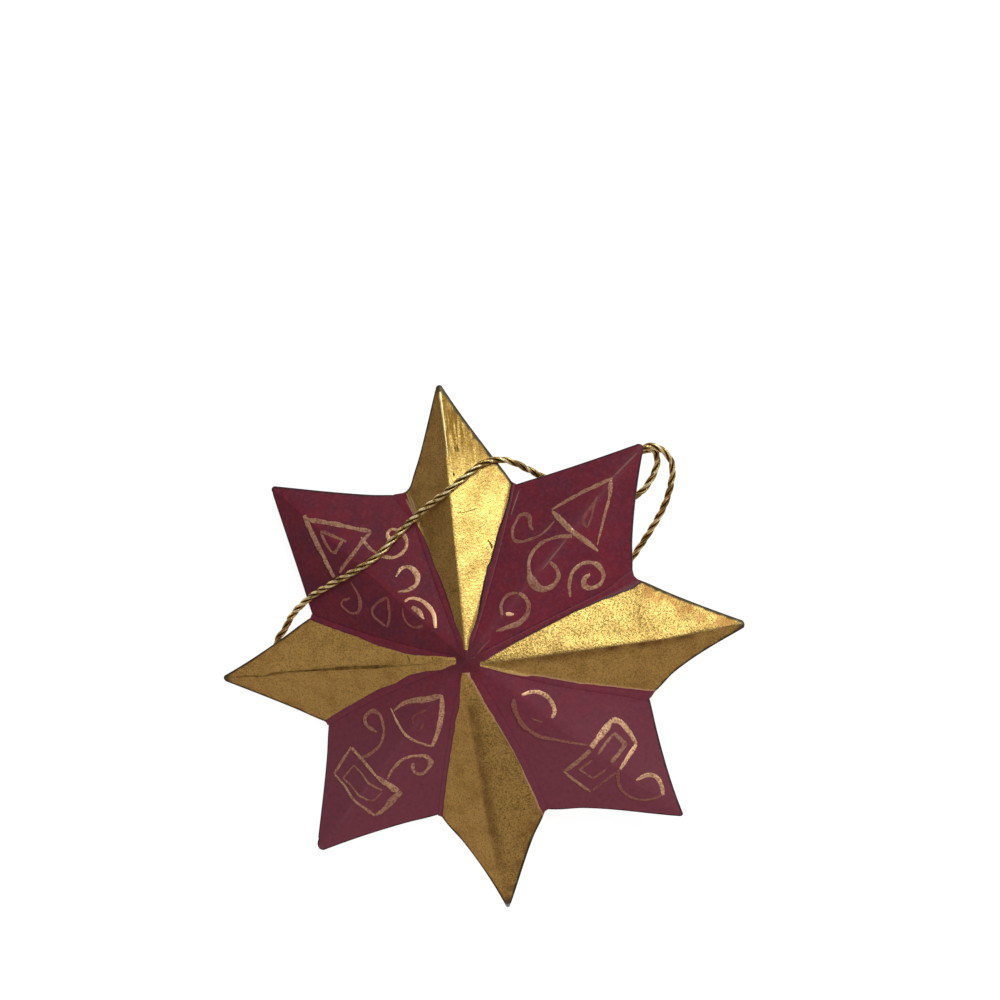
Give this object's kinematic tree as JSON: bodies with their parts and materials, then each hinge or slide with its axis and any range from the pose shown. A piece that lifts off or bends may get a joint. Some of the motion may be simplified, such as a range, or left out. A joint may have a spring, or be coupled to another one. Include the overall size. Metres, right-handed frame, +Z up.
{
  "type": "tin star ornament",
  "caption": "Hollow folded tin star with alternating gold and burgundy points, lapped seams and painted scrolls, on a twisted metallic hanging cord.",
  "frame": {"origin": "centre of the star's plan box, on the surface that it lies on", "axes": "+Z up out of that surface, on the star's front; the star leans 12 degrees, because it rests on its rear peak and two points"},
  "size_m": [0.0878, 0.0892, 0.0189],
  "materials": {
    "burgundy_paint": "satin burgundy paint, worn along the ridges, with gold brushed scrolls",
    "gold_paint": "brushed metallic gold paint, grainy, worn to a dark base at ridges and tips",
    "metallic_cord": "twisted metallic gold yarn"
  },
  "bodies": {
    "root": {"front_burgundy_star": "burgundy_paint", "back_burgundy_star": "burgundy_paint", "front_gold_point_top": "gold_paint", "front_gold_point_right": "gold_paint", "front_gold_point_bottom": "gold_paint", "front_gold_point_left": "gold_paint", "back_gold_point_top": "gold_paint", "back_gold_point_right": "gold_paint", "back_gold_point_bottom": "gold_paint", "back_gold_point_left": "gold_paint", "hanging_cord": "metallic_cord", "cord_knot": "metallic_cord"}
  },
  "joints": []
}
